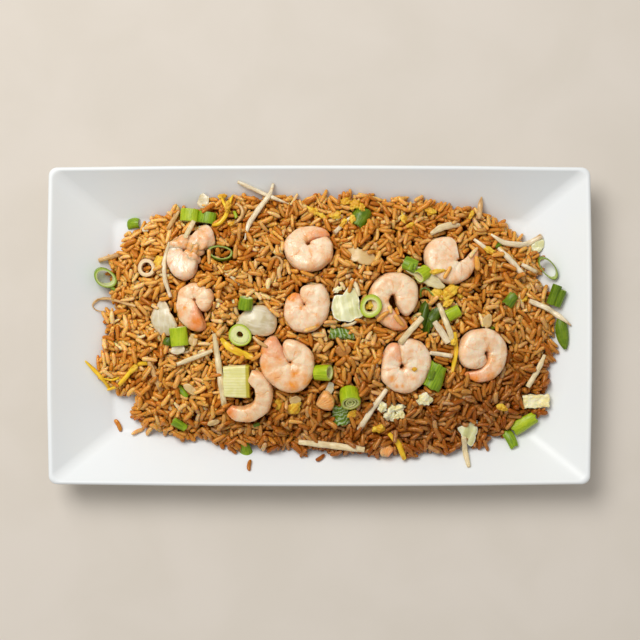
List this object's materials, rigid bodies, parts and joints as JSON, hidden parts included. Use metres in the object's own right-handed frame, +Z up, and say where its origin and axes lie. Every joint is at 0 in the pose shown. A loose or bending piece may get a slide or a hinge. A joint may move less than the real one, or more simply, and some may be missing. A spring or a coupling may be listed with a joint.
{
  "type": "fried rice",
  "caption": "Prawn fried rice heaped on an oblong white porcelain platter with sloping sides, with spring onion, onion, cabbage, leek and egg.",
  "frame": {"origin": "on the table, under the middle of the platter", "axes": "+X along the platter's length, +Y across it, +Z up"},
  "size_m": [0.305, 0.18, 0.0425],
  "materials": {
    "porcelain": "white porcelain with a smooth clear glaze",
    "rice": "long-grain rice browned with soy sauce, slightly oily",
    "prawn": "cooked peeled prawn, moist, pale peach with orange bands",
    "spring_onion": "cut spring onion, moist green skin and pale inside",
    "onion": "cooked onion, translucent and moist",
    "cabbage": "pale cooked cabbage leaf, moist",
    "leek": "ribbed pale green leek, moist",
    "egg": "scrambled egg, soft and slightly wet"
  },
  "bodies": {
    "root": {"cabbage_leaf": "cabbage", "cabbage_tip": "cabbage", "egg_curd": "egg", "egg_slab": "egg", "fried_rice": "rice", "leek_chunk": "leek", "onion_petal": "onion", "onion_root_ring": "onion", "onion_slice": "onion", "onion_strip": "onion", "onion_wedge": "onion", "platter": "porcelain", "prawn_1": "prawn", "prawn_10": "prawn", "prawn_2": "prawn", "prawn_3": "prawn", "prawn_4": "prawn", "prawn_5": "prawn", "prawn_6": "prawn", "prawn_7": "prawn", "prawn_8": "prawn", "prawn_9": "prawn", "prawn_piece_at_edge": "prawn", "prawn_tail_end": "prawn", "spring_onion_leaf_a": "spring_onion", "spring_onion_leaf_at_corner": "spring_onion", "spring_onion_leaf_at_right": "spring_onion", "spring_onion_leaf_b": "spring_onion", "spring_onion_leaf_large": "spring_onion", "spring_onion_leaf_low": "spring_onion", "spring_onion_leaf_middle": "spring_onion", "spring_onion_leaf_top": "spring_onion", "spring_onion_leaf_under_corner": "spring_onion", "spring_onion_loop": "spring_onion", "spring_onion_loop_at_right": "spring_onion", "spring_onion_pair_a": "spring_onion", "spring_onion_pair_b": "spring_onion", "spring_onion_ring_at_left": "spring_onion", "spring_onion_ring_lime": "spring_onion", "spring_onion_ring_middle": "spring_onion", "spring_onion_ring_thick": "spring_onion", "spring_onion_stub": "spring_onion", "spring_onion_tube_a": "spring_onion", "spring_onion_tube_at_right": "spring_onion", "spring_onion_tube_b": "spring_onion", "spring_onion_tube_c": "spring_onion", "spring_onion_tube_d": "spring_onion", "spring_onion_tube_lime": "spring_onion"}
  },
  "joints": []
}
